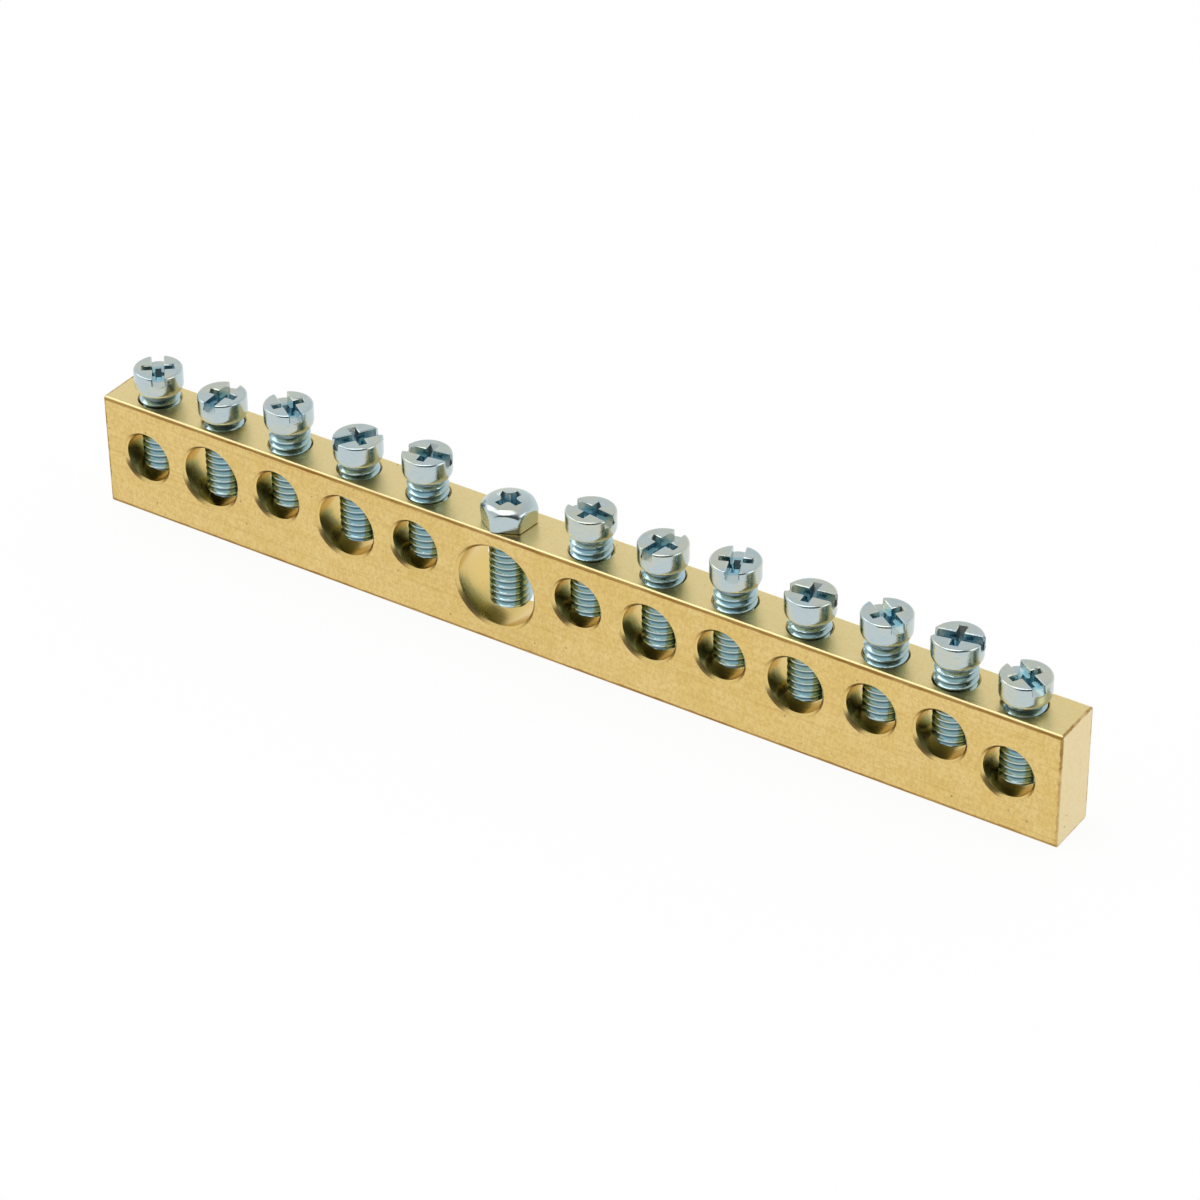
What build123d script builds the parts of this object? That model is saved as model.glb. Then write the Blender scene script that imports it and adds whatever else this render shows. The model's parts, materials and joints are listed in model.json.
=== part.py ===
"""A brass terminal bus bar: a solid bar with a row of cross bores, each with a clamping screw in the top edge.

The bar stands on its narrow lower face, with its length along X and the screws upright.
The origin is at the middle of that lower face. Lengths are in millimetres and angles in degrees.
"""
import os
from dataclasses import dataclass
from math import cos, radians, sqrt, tan

from build123d import *

# Screw thread, and how it sits in the bar
thread_diameter = 4.0
thread_depth = 0.4
thread_clearance = 0.05
thread_side_wall = 0.75
thread_mouth_chamfer = 0.15
screw_stop_gap = 0.05

# Screw shanks, below the underside of the head
terminal_shank_length = 8.3
main_shank_length = 8.7
neck_length = 0.4
thread_run_out = 0.25
tip_chamfer = 0.3

# Slotted cheese head
head_overhang = 0.4
head_height = 2.4
head_edge_radius = 0.18
head_shoulder_radius = 0.5
slot_width = 1.1
slot_depth = 0.8

# Cross recess: its mouth and its root, with the corners between the arms cut back
cross_reach = 1.55
cross_arm_width = 0.76
cross_corner_cut = 0.22
cross_root_reach = 0.6
cross_root_arm_width = 0.44
cross_root_corner_cut = 0.1
cross_depth = 1.5

# Hexagon head of the main screw, whose sides widen a little upwards under a rounded, domed top
hex_overhang = 0.35
hex_draft = 4.5
hex_height = 2.5
hex_side_height = 1.35
hex_corner_radius = 0.2
hex_shoulder_radius = 1.2
hex_dome_edge = 2.0
hex_dome_rise = 0.18
hex_cross_reach = 1.4
hex_cross_angle = 50.0

# Wire bores, and the metal between each bore's crown and the top face
small_bore_diameter = 5.05
middle_bore_diameter = 5.75
wide_bore_diameter = 6.3
main_bore_diameter = 8.5
bore_countersink = 0.3
crown_wall = 2.05
left_crown_wall = 3.1
right_crown_wall = 3.4
main_crown_wall = 1.65
main_floor_wall = 1.85

# Metal between one bore and the next, and at the ends of the bar
left_end_wall = 2.3
thin_wall = 1.75
slim_wall = 2.05
plain_wall = 2.3
broad_wall = 2.4
right_end_wall = 2.7

# How far a screw stands above its lowest position
small_rise = 0.05
usual_rise = 0.12
large_rise = 0.22
highest_rise = 0.6

# Edges of the bar
long_edge_radius = 0.3
sawn_edge_chamfer = 0.12


@dataclass(frozen=True)
class Way:
    """One wire way: a bore and the screw above it.

    bore is the bore's diameter, crown the metal above it and wall_before the metal to its left.
    backed_out is how far its screw stands above its lowest position, and turned is how its head is turned.
    """

    bore: float
    crown: float
    wall_before: float
    backed_out: float
    turned: float
    hexagon: bool = False

    @property
    def shank_length(self) -> float:
        """The length of the way's screw below its head."""
        return main_shank_length if self.hexagon else terminal_shank_length


# The ways from left to right
ways = [
    Way(small_bore_diameter, left_crown_wall, left_end_wall, usual_rise, 129),
    Way(wide_bore_diameter, crown_wall, slim_wall, small_rise, 93),
    Way(small_bore_diameter, crown_wall, plain_wall, usual_rise, 146),
    Way(wide_bore_diameter, crown_wall, broad_wall, highest_rise, 57),
    Way(small_bore_diameter, crown_wall, plain_wall, small_rise, 8),
    Way(main_bore_diameter, main_crown_wall, broad_wall, 0.0, 25, hexagon=True),
    Way(small_bore_diameter, crown_wall, plain_wall, small_rise, -8),
    Way(middle_bore_diameter, crown_wall, broad_wall, usual_rise, 80),
    Way(small_bore_diameter, crown_wall, plain_wall, usual_rise, 112),
    Way(middle_bore_diameter, crown_wall, broad_wall, large_rise, 8),
    Way(small_bore_diameter, crown_wall, broad_wall, usual_rise, 146),
    Way(small_bore_diameter, crown_wall, slim_wall, large_rise, 12),
    Way(small_bore_diameter, right_crown_wall, thin_wall, small_rise, 148),
]

# The stock is as tall as the main bore and its walls, and as thick as the thread and its walls
bar_height = main_crown_wall + main_bore_diameter + main_floor_wall
bar_thickness = thread_diameter + 2 * thread_side_wall
bar_length = sum(way.wall_before + way.bore for way in ways) + right_end_wall

thread_radius = thread_diameter / 2
neck_radius = thread_radius - thread_depth
tip_radius = thread_radius - tip_chamfer
tapped_radius = thread_radius + thread_clearance
head_radius = thread_radius + head_overhang
hex_across_flats = thread_diameter + 2 * hex_overhang


def bore_places() -> list[float]:
    """The place along the bar of each bore, and of the screw above it."""
    places = []
    left_edge = -bar_length / 2
    for way in ways:
        places.append(left_edge + way.wall_before + way.bore / 2)
        left_edge += way.wall_before + way.bore
    return places


def bore_axis_height(way: Way) -> float:
    """The height of a bore's axis above the bar's lower face."""
    return bar_height - way.crown - way.bore / 2


def floor_height(way: Way, off_axis: float) -> float:
    """The height of a bore's lower wall this far to one side of its axis, and of the axis past its sides."""
    return bore_axis_height(way) - sqrt(max((way.bore / 2) ** 2 - off_axis**2, 0))


def lowest_tip(way: Way) -> float:
    """The height of a screw's tip when the tip meets the bore's floor or the head meets the bar."""
    on_the_floor = max(floor_height(way, tip_radius), floor_height(way, thread_radius) - tip_chamfer)
    on_the_head = bar_height - way.shank_length
    return max(on_the_floor, on_the_head) + screw_stop_gap


def tip_height(way: Way) -> float:
    """The height of a screw's tip as it stands."""
    return lowest_tip(way) + way.backed_out


def travel_to_clear(way: Way) -> float:
    """How far a screw rises before it leaves its bore clear."""
    return bar_height - way.crown + screw_stop_gap - tip_height(way)


def cross_corners(reach: float, arm_width: float, corner_cut: float) -> list[Vector]:
    """The corners of a cross with four arms whose inner corners are cut back."""
    half = arm_width / 2
    arm = [(reach, -half), (reach, half), (half + corner_cut, half), (half, half + corner_cut)]
    return [Vector(*corner).rotate(Axis.Z, turn) for turn in (0, 90, 180, 270) for corner in arm]


def cross_hollow(mouth_height: float, reach: float) -> Part:
    """The hollow of a cross recess, from its mouth at this height down to its root."""
    with BuildPart() as hollow:
        with BuildSketch(Plane.XY.offset(mouth_height)):
            with BuildLine():
                Polyline(*cross_corners(reach, cross_arm_width, cross_corner_cut), close=True)
            make_face()
        with BuildSketch(Plane.XY.offset(mouth_height - cross_depth)):
            with BuildLine():
                Polyline(*cross_corners(cross_root_reach, cross_root_arm_width, cross_root_corner_cut), close=True)
            make_face()
        loft(ruled=True)
    return hollow.part


def shank(length: float) -> Part:
    """The shank under a head: its neck, its thread at the outer diameter and its chamfered tip."""
    with BuildPart() as turned:
        with BuildSketch(Plane.XZ):
            with BuildLine():
                Polyline(
                    (0, 0),
                    (neck_radius, 0),
                    (neck_radius, -neck_length),
                    (thread_radius, -neck_length - thread_run_out),
                    (thread_radius, tip_chamfer - length),
                    (tip_radius, -length),
                    (0, -length),
                    close=True,
                )
            make_face()
        revolve(axis=Axis.Z)
    return turned.part


# The bar is drawn stock with rounded long edges, sawn to length, bored across and tapped from above
with BuildPart() as bar:
    Box(bar_length, bar_thickness, bar_height, align=(Align.CENTER, Align.CENTER, Align.MIN))
    fillet(bar.edges().filter_by(Axis.X), long_edge_radius)
    ends = bar.faces().sort_by(Axis.X)
    chamfer(ends[0].edges() + ends[-1].edges(), sawn_edge_chamfer)

    with BuildSketch(Plane.XZ.offset(-bar_thickness / 2)):
        for way, place in zip(ways, bore_places()):
            with Locations((place, bore_axis_height(way))):
                Circle(way.bore / 2)
    extrude(amount=bar_thickness, mode=Mode.SUBTRACT)
    sides = bar.faces().sort_by(Axis.Y)
    bore_rims = (sides[0].edges() + sides[-1].edges()).filter_by(GeomType.CIRCLE)
    chamfer(bore_rims, bore_countersink)

    for way, place in zip(ways, bore_places()):
        with Locations((place, 0, bar_height)):
            Hole(tapped_radius, depth=way.crown + way.bore / 2)
    top = bar.faces().sort_by(Axis.Z)[-1]
    chamfer(top.edges().filter_by(GeomType.CIRCLE), thread_mouth_chamfer)

# A terminal screw stands on the underside of its head, with its slot along X
with BuildPart() as terminal_screw:
    Cylinder(head_radius, head_height, align=(Align.CENTER, Align.CENTER, Align.MIN))
    rims = terminal_screw.edges().filter_by(GeomType.CIRCLE).sort_by(Axis.Z)
    fillet(rims[-1], head_edge_radius)
    fillet(rims[0], head_shoulder_radius)
    with BuildSketch(Plane.XY.offset(head_height)):
        Rectangle(4 * head_radius, slot_width)
    extrude(amount=-slot_depth, mode=Mode.SUBTRACT)
    add(cross_hollow(head_height, cross_reach), mode=Mode.SUBTRACT)
    add(shank(terminal_shank_length))

# The main screw's hexagon is cut round by its shoulder, which leaves an arc on top of each flat
hex_shoulder_reach = (hex_across_flats / 2 + hex_side_height * tan(radians(hex_draft))) / cos(radians(30))
with BuildPart() as main_screw:
    with BuildSketch() as hexagon:
        RegularPolygon(hex_across_flats / 2, 6, major_radius=False)
        fillet(hexagon.vertices(), hex_corner_radius)
    extrude(amount=hex_height, taper=-hex_draft)
    with BuildSketch(Plane.XZ):
        with BuildLine():
            dome_edge = (hex_dome_edge, hex_height - hex_dome_rise)
            Polyline((0, hex_height), (0, 0), (hex_shoulder_reach, 0), (hex_shoulder_reach, hex_side_height))
            RadiusArc((hex_shoulder_reach, hex_side_height), dome_edge, -hex_shoulder_radius)
            RadiusArc(dome_edge, (0, hex_height), -(hex_dome_edge**2 + hex_dome_rise**2) / (2 * hex_dome_rise))
        make_face()
    revolve(axis=Axis.Z, mode=Mode.INTERSECT)
    add(cross_hollow(hex_height, hex_cross_reach).rotate(Axis.Z, hex_cross_angle), mode=Mode.SUBTRACT)
    add(shank(main_shank_length))

os.makedirs("parts", exist_ok=True)
bar.part.label = "bar"
export_step(bar.part, "parts/bar.step")
for number, (way, place) in enumerate(zip(ways, bore_places()), start=1):
    if way.hexagon:
        screw, name = main_screw, "main_screw"
    else:
        screw, name = terminal_screw, f"terminal_screw_{number:02d}"
    underside = tip_height(way) + way.shank_length
    placed = screw.part.moved(Location((place, 0, underside), (0, 0, way.turned)))
    placed.label = name
    export_step(placed, f"parts/{name}.step")
    print(f"{name}: at {place:.3f}, lowers {way.backed_out:.2f} and rises {travel_to_clear(way):.3f}")
    print(f"  its bore: axis {bore_axis_height(way):.3f} up, radius {way.bore / 2:.3f}")
print(f"bar: {bar_length:.2f} long, {bar_thickness:.2f} thick, {bar_height:.2f} tall")
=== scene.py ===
"""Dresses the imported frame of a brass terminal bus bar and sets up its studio.

The bar is a drawn block that Geometry Nodes bore across and tap from above. Each screw is a Geometry Nodes
shank with a real helical thread under a head that is turned, slotted and cross-recessed in mesh code.
Shapes are made in millimetres and brought to metres when they are finished. Angles are in degrees.
"""
from __future__ import annotations

import json
import logging
from collections.abc import Callable, Mapping, Sequence
from dataclasses import asdict, dataclass, field, fields
from enum import Enum
from math import atan2, cos, pi, radians, sin, tan
from typing import Any

import bmesh
import bpy
from bmesh.types import BMesh
from bpy.types import Material, Mesh, Node, NodeSocket, NodeTree, Object
from mathutils import Matrix, Vector

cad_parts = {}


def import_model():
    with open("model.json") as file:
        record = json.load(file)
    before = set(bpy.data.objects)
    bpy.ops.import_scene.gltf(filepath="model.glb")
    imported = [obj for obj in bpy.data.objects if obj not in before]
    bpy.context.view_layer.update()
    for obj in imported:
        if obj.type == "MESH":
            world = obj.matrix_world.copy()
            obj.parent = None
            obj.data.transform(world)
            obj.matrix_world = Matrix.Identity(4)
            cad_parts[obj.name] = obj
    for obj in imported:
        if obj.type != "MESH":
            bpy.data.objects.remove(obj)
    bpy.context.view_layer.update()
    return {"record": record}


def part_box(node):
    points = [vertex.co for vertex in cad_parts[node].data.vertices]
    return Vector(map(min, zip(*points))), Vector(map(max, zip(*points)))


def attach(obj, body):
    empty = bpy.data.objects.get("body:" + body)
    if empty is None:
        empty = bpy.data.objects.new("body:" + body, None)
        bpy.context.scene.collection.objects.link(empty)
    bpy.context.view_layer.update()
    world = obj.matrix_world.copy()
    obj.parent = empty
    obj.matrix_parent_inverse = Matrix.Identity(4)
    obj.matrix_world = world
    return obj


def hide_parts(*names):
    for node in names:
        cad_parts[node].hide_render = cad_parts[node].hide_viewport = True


Corner = tuple[float, float]
Point = tuple[float, float, float]
Colour = tuple[float, float, float]

MILLIMETRE = 0.001
WHITE = (1.0, 1.0, 1.0, 1.0)
log = logging.getLogger("bus_bar")


class Slot(Enum):
    """The record's material slots."""

    BRASS = "brass"
    PLATED_STEEL = "plated_steel"


class Kind(Enum):
    """The kinds of input that a shape's recipe takes."""

    GEOMETRY = "NodeSocketGeometry"
    NUMBER = "NodeSocketFloat"
    COUNT = "NodeSocketInt"
    VECTOR = "NodeSocketVector"
    OBJECT = "NodeSocketObject"
    MATERIAL = "NodeSocketMaterial"


def by_maths(operation: str) -> Callable[..., Wire]:
    """Makes a method that adds a Math node.

    Args:
        operation: The Math node's operation.

    Returns:
        The method, which takes the operands after the wire and gives the node's value.
    """

    def method(wire: Wire, *others: Number) -> Wire:
        """Gives the value of the operation."""
        operands = dict(enumerate((wire, *others)))
        return wire.graph.wire("ShaderNodeMath", {"operation": operation}, operands)

    return method


class Wire:
    """One output socket of a node tree. Python's operators on it add Math nodes."""

    __add__ = __radd__ = by_maths("ADD")
    __sub__ = by_maths("SUBTRACT")
    __mul__ = by_maths("MULTIPLY")
    __truediv__ = by_maths("DIVIDE")
    __gt__ = by_maths("GREATER_THAN")
    __abs__ = by_maths("ABSOLUTE")
    at_most = by_maths("MINIMUM")
    at_least = by_maths("MAXIMUM")
    rounded_up = by_maths("CEIL")
    fraction = by_maths("FRACT")
    root = by_maths("SQRT")
    sine = by_maths("SINE")
    cosine = by_maths("COSINE")

    def __init__(self, graph: Graph, socket: NodeSocket) -> None:
        """Keeps the socket and the graph that it belongs to."""
        self.graph = graph
        self.socket = socket

    def __rsub__(self, other: float) -> Wire:
        """Gives other - self."""
        return self.graph.wire("ShaderNodeMath", {"operation": "SUBTRACT"}, {0: other, 1: self})

    def __neg__(self) -> Wire:
        """Gives -self."""
        return self * -1.0

    def rises(self, low: float, high: float) -> Wire:
        """Gives a smooth step.

        Args:
            low: The value at which the step is 0. The step falls where low is over high.
            high: The value at which it is 1.

        Returns:
            The step, from 0 to 1.
        """
        below, above = float(low > high), float(low < high)
        inputs = dict(enumerate((self, min(low, high), max(low, high), below, above)))
        return self.graph.wire("ShaderNodeMapRange", {"interpolation_type": "SMOOTHSTEP"}, inputs)


Number = Wire | float
Values = Mapping[str | int, Any]


class Graph:
    """A node tree, with one method that adds any node."""

    def __init__(self, tree: NodeTree) -> None:
        """Keeps the tree."""
        self.tree = tree

    def node(self, kind: str, settings: Values | None = None, inputs: Values | None = None) -> Node:
        """Adds a node.

        Args:
            kind: The node's type.
            settings: The node's own settings, which are set first.
            inputs: Wires or values for the node's sockets, by name or by number.

        Returns:
            The node.
        """
        node = self.tree.nodes.new(kind)
        for name, value in (settings or {}).items():
            setattr(node, name, value)
        for key, value in (inputs or {}).items():
            if isinstance(value, Wire):
                self.tree.links.new(value.socket, node.inputs[key])
            else:
                node.inputs[key].default_value = value
        return node

    def wire(
        self, kind: str, settings: Values | None = None, inputs: Values | None = None, output: str | int = 0
    ) -> Wire:
        """Adds a node as node() does, and returns the wire of one of its outputs."""
        return Wire(self, self.node(kind, settings, inputs).outputs[output])

    def split(self, vector: Wire) -> tuple[Wire, Wire, Wire]:
        """Gives a vector's three parts."""
        parts = self.node("ShaderNodeSeparateXYZ", inputs={0: vector}).outputs
        return Wire(self, parts[0]), Wire(self, parts[1]), Wire(self, parts[2])

    def vector(self, x: Number, y: Number, z: Number) -> Wire:
        """Gives the vector that has these three parts."""
        return self.wire("ShaderNodeCombineXYZ", inputs={0: x, 1: y, 2: z})


class Recipe(Graph):
    """A Geometry Nodes tree with named inputs."""

    WELD = 0.0005

    def __init__(self, name: str) -> None:
        """Starts an empty tree.

        Args:
            name: The tree's name.
        """
        super().__init__(bpy.data.node_groups.new(name, "GeometryNodeTree"))
        self.entry = self.tree.nodes.new("NodeGroupInput")
        self.identifiers: dict[str, str] = {}

    def takes(self, name: str, kind: Kind) -> Wire:
        """Adds a named input.

        Args:
            name: The input's name. It is shown with a capital and without underscores.
            kind: What it holds.

        Returns:
            The input's wire.
        """
        label = name.replace("_", " ").capitalize()
        socket = self.tree.interface.new_socket(name=label, in_out="INPUT", socket_type=kind.value)
        self.identifiers[name] = socket.identifier
        return Wire(self, self.entry.outputs[label])

    def steps(self, row: Wire, values: Sequence[Number]) -> Wire:
        """Gives the value that belongs to a row number.

        Args:
            row: The row number, from 0.
            values: One value for each row.

        Returns:
            The row's value.
        """
        total: Number = values[0]
        for number in range(1, len(values)):
            total = (row > number - 0.5) * (values[number] - values[number - 1]) + total
        return total

    def lattice(self, columns: Wire, rows: Wire | int) -> tuple[Wire, Wire, Wire]:
        """Adds a flat grid to be rolled up into a turned shape.

        Args:
            columns: How many faces it has around.
            rows: How many rows of points it has.

        Returns:
            The grid, and each point's share of the way around and along.
        """
        grid = self.node("GeometryNodeMeshGrid", inputs={"Vertices X": columns + 1, "Vertices Y": rows})
        around, along, _ = self.split(Wire(self, grid.outputs["UV Map"]))
        return Wire(self, grid.outputs["Mesh"]), around, along

    def welded(self, mesh: Wire) -> Wire:
        """Joins the points that lie in one place."""
        return self.wire("GeometryNodeMergeByDistance", inputs={"Geometry": mesh, "Distance": self.WELD})

    def ends(self, mesh: Wire, finish: Wire, crease: float) -> None:
        """Ends the tree with smooth faces, sharp creases, real instances and a material.

        Args:
            mesh: The finished shape.
            finish: Its material.
            crease: The angle between faces, in degrees, over which their edge stays sharp.
        """
        whole = self.wire("GeometryNodeRealizeInstances", inputs={"Geometry": mesh})
        smooth = self.wire("GeometryNodeSetShadeSmooth", inputs={"Geometry": whole, "Shade Smooth": True})
        sharp = self.wire("GeometryNodeInputMeshEdgeAngle") > radians(crease)
        creased = self.wire(
            "GeometryNodeSetShadeSmooth",
            {"domain": "EDGE"},
            {"Geometry": smooth, "Selection": sharp, "Shade Smooth": False},
        )
        painted = self.wire("GeometryNodeSetMaterial", inputs={"Geometry": creased, "Material": finish})
        self.tree.interface.new_socket(name="Geometry", in_out="OUTPUT", socket_type=Kind.GEOMETRY.value)
        self.node("NodeGroupOutput", inputs={0: painted})

    def run(self, start: Object, values: Mapping[str, Any]) -> None:
        """Puts the tree on an object as a modifier.

        Args:
            start: The object.
            values: The value of each named input.
        """
        modifier = start.modifiers.new(self.tree.name, "NODES")
        modifier.node_group = self.tree
        for name, value in values.items():
            modifier[self.identifiers[name]] = value


def new_object(name: str, mesh: Mesh | BMesh) -> Object:
    """Makes an object at the origin.

    Args:
        name: The object's name.
        mesh: Its mesh. A bmesh is written out and freed.

    Returns:
        The object.
    """
    if isinstance(mesh, BMesh):
        data = bpy.data.meshes.new(name)
        mesh.to_mesh(data)
        mesh.free()
        mesh = data
    made = bpy.data.objects.new(name, mesh)
    bpy.context.scene.collection.objects.link(made)
    return made


def finished_mesh(start: Object) -> Mesh:
    """Applies an object's modifiers.

    Args:
        start: The object, which is removed.

    Returns:
        The mesh that the modifiers made.
    """
    evaluated = start.evaluated_get(bpy.context.evaluated_depsgraph_get())
    mesh = bpy.data.meshes.new_from_object(evaluated)
    bpy.data.objects.remove(start)
    return mesh


def finished_piece(start: Object, name: str) -> Object:
    """Finishes a piece and brings it from millimetres to metres.

    Args:
        start: The object whose modifiers make the piece. It is removed.
        name: The piece's name.

    Returns:
        The piece.
    """
    weighted = start.modifiers.new("Weighted normals", "WEIGHTED_NORMAL")
    weighted.keep_sharp = True
    mesh = finished_mesh(start)
    mesh.transform(Matrix.Scale(MILLIMETRE, 4))
    return new_object(name, mesh)


def turned(profile: Sequence[Corner], columns: int) -> BMesh:
    """Turns a profile around the Z axis into a closed shape.

    Args:
        profile: Radius and height of each corner from top to bottom. Both ends are on the axis.
        columns: How many faces it has around.

    Returns:
        The shape.
    """
    shape = bmesh.new()
    rings = []
    for radius, height in profile:
        if radius == 0:
            rings.append([shape.verts.new((0, 0, height))] * columns)
            continue
        angles = [2 * pi * column / columns for column in range(columns)]
        rings.append([shape.verts.new((radius * cos(a), radius * sin(a), height)) for a in angles])
    for upper, lower in zip(rings, rings[1:]):
        for column in range(columns):
            after = (column + 1) % columns
            corners = [upper[column], lower[column], lower[after], upper[after]]
            shape.faces.new(list(dict.fromkeys(corners)))
    return shape


def arc(start: Corner, end: Corner, radius: float, steps: int) -> list[Corner]:
    """Gives the points of an arc that turns clockwise from one point to another.

    Args:
        start: Its first point.
        end: Its last point.
        radius: Its radius.
        steps: How many chords it has.

    Returns:
        Its points, with both ends.
    """
    chord = Vector(end) - Vector(start)
    inwards = Vector((chord.y, -chord.x)).normalized()
    centre = Vector(start) + chord / 2 + inwards * (radius**2 - chord.length_squared / 4) ** 0.5
    first, last = (atan2(*(Vector(point) - centre).yx) for point in (start, end))
    angles = [first + (last - first) * step / steps for step in range(steps + 1)]
    return [(centre.x + radius * cos(a), centre.y + radius * sin(a)) for a in angles]


def softly_least(one: float, other: float, blend: float) -> float:
    """Gives the smaller of two lengths, and a little less where they are closer than the blend."""
    closeness = max(blend - abs(one - other), 0.0) / blend
    return min(one, other) - closeness**2 * blend / 4


def lofted(outlines: Sequence[Sequence[Point]]) -> BMesh:
    """Joins outlines of as many corners by flat faces, and closes both ends.

    Args:
        outlines: The corners of each outline, anticlockwise as seen from beyond the first outline.

    Returns:
        The shape.
    """
    shape = bmesh.new()
    rings = [[shape.verts.new(corner) for corner in outline] for outline in outlines]
    shape.faces.new(rings[0])
    shape.faces.new(rings[-1][::-1])
    for upper, lower in zip(rings, rings[1:]):
        for here in range(len(upper)):
            after = (here + 1) % len(upper)
            shape.faces.new((upper[here], lower[here], lower[after], upper[after]))
    return shape


def combined(start: Object, operation: str, tool: Object) -> Object:
    """Cuts an object with a tool, adds the tool to it, or keeps what they share.

    Args:
        start: The object, which is replaced.
        operation: The Boolean modifier's operation.
        tool: The other shape, which is removed.

    Returns:
        The new object.
    """
    name = start.name
    modifier = start.modifiers.new("Cut", "BOOLEAN")
    modifier.operation = operation
    modifier.solver = "EXACT"
    modifier.object = tool
    mesh = finished_mesh(start)
    bpy.data.objects.remove(tool)
    return new_object(name, mesh)


@dataclass(frozen=True)
class Thread:
    """The screws' thread and shank, in millimetres."""

    radius: float = 2.0
    depth: float = 0.4
    pitch: float = 0.7
    length: float = 8.3
    neck: float = 0.4
    run_out: float = 0.25
    tip_chamfer: float = 0.3
    stub: float = 0.1
    columns: int = 72
    rows_per_pitch: int = 12

    @property
    def neck_radius(self) -> float:
        """The radius at the thread's root."""
        return self.radius - self.depth


class ScrewRecipe(Recipe):
    """Puts a threaded shank under a head and sets the screw in its place."""

    FLAT_SHARE = 1 / 6
    TIP_CLOSING = 3.0
    CREASE = 38.0

    def __init__(self) -> None:
        """Builds the tree."""
        super().__init__("Threaded screw")
        head = self.takes("head", Kind.OBJECT)
        place = self.takes("place", Kind.VECTOR)
        turn = self.takes("turn", Kind.NUMBER)
        finish = self.takes("finish", Kind.MATERIAL)
        kinds = {"float": Kind.NUMBER, "int": Kind.COUNT}
        sizes = {size.name: self.takes(size.name, kinds[size.type]) for size in fields(Thread)}

        shank = self.shank(sizes)
        head_mesh = self.wire("GeometryNodeObjectInfo", inputs={"Object": head}, output="Geometry")
        join = self.node("GeometryNodeJoinGeometry")
        for part in (head_mesh, shank):
            self.tree.links.new(part.socket, join.inputs[0])
        whole = self.welded(Wire(self, join.outputs[0]))
        named = self.wire(
            "GeometryNodeStoreNamedAttribute",
            {"data_type": "FLOAT_VECTOR", "domain": "POINT"},
            {"Geometry": whole, "Name": "own_place", "Value": self.wire("GeometryNodeInputPosition")},
        )
        rotation = self.wire("FunctionNodeEulerToRotation", inputs={0: self.vector(0.0, 0.0, turn)})
        seated = self.wire(
            "GeometryNodeTransform", inputs={"Geometry": named, "Translation": place, "Rotation": rotation}
        )
        self.ends(seated, finish, self.CREASE)

    def shank(self, sizes: Mapping[str, Wire]) -> Wire:
        """Rolls a grid up along the thread's helix, so that its rows follow the crests.

        Args:
            sizes: The thread's fields by name.

        Returns:
            The shank, open where it meets the head's stub.
        """
        radius, depth, pitch, length = (sizes[name] for name in ("radius", "depth", "pitch", "length"))
        turns = ((length + radius / self.TIP_CLOSING) / pitch).rounded_up() + 1
        grid, around, along = self.lattice(sizes["columns"], turns * sizes["rows_per_pitch"] + 1)
        unclamped = around * pitch - along * turns * pitch - sizes["stub"]
        above_tip = unclamped + length
        height = unclamped.at_least(-length).at_most(-sizes["stub"])

        root = radius - depth
        off_crest = abs((along * turns).fraction() * 2 - 1)
        fullness = (1 - self.FLAT_SHARE - off_crest) / (1 - 2 * self.FLAT_SHARE)
        thread = root + depth * fullness.at_most(1.0).at_least(0.0)
        under_neck = (-height - sizes["neck"]).at_least(0.0)
        neck = root + under_neck * depth / sizes["run_out"]
        chamfered = radius - sizes["tip_chamfer"]
        tip = chamfered + above_tip.at_least(0.0) + above_tip.at_most(0.0) * self.TIP_CLOSING
        reach = thread.at_most(neck).at_most(tip).at_least(0.0)

        angle = around * (2 * pi)
        surface = self.vector(reach * angle.cosine(), reach * angle.sine(), height)
        rolled = self.wire("GeometryNodeSetPosition", inputs={"Geometry": grid, "Position": surface})
        return self.welded(self.wire("GeometryNodeFlipFaces", inputs={"Mesh": rolled}))


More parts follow.
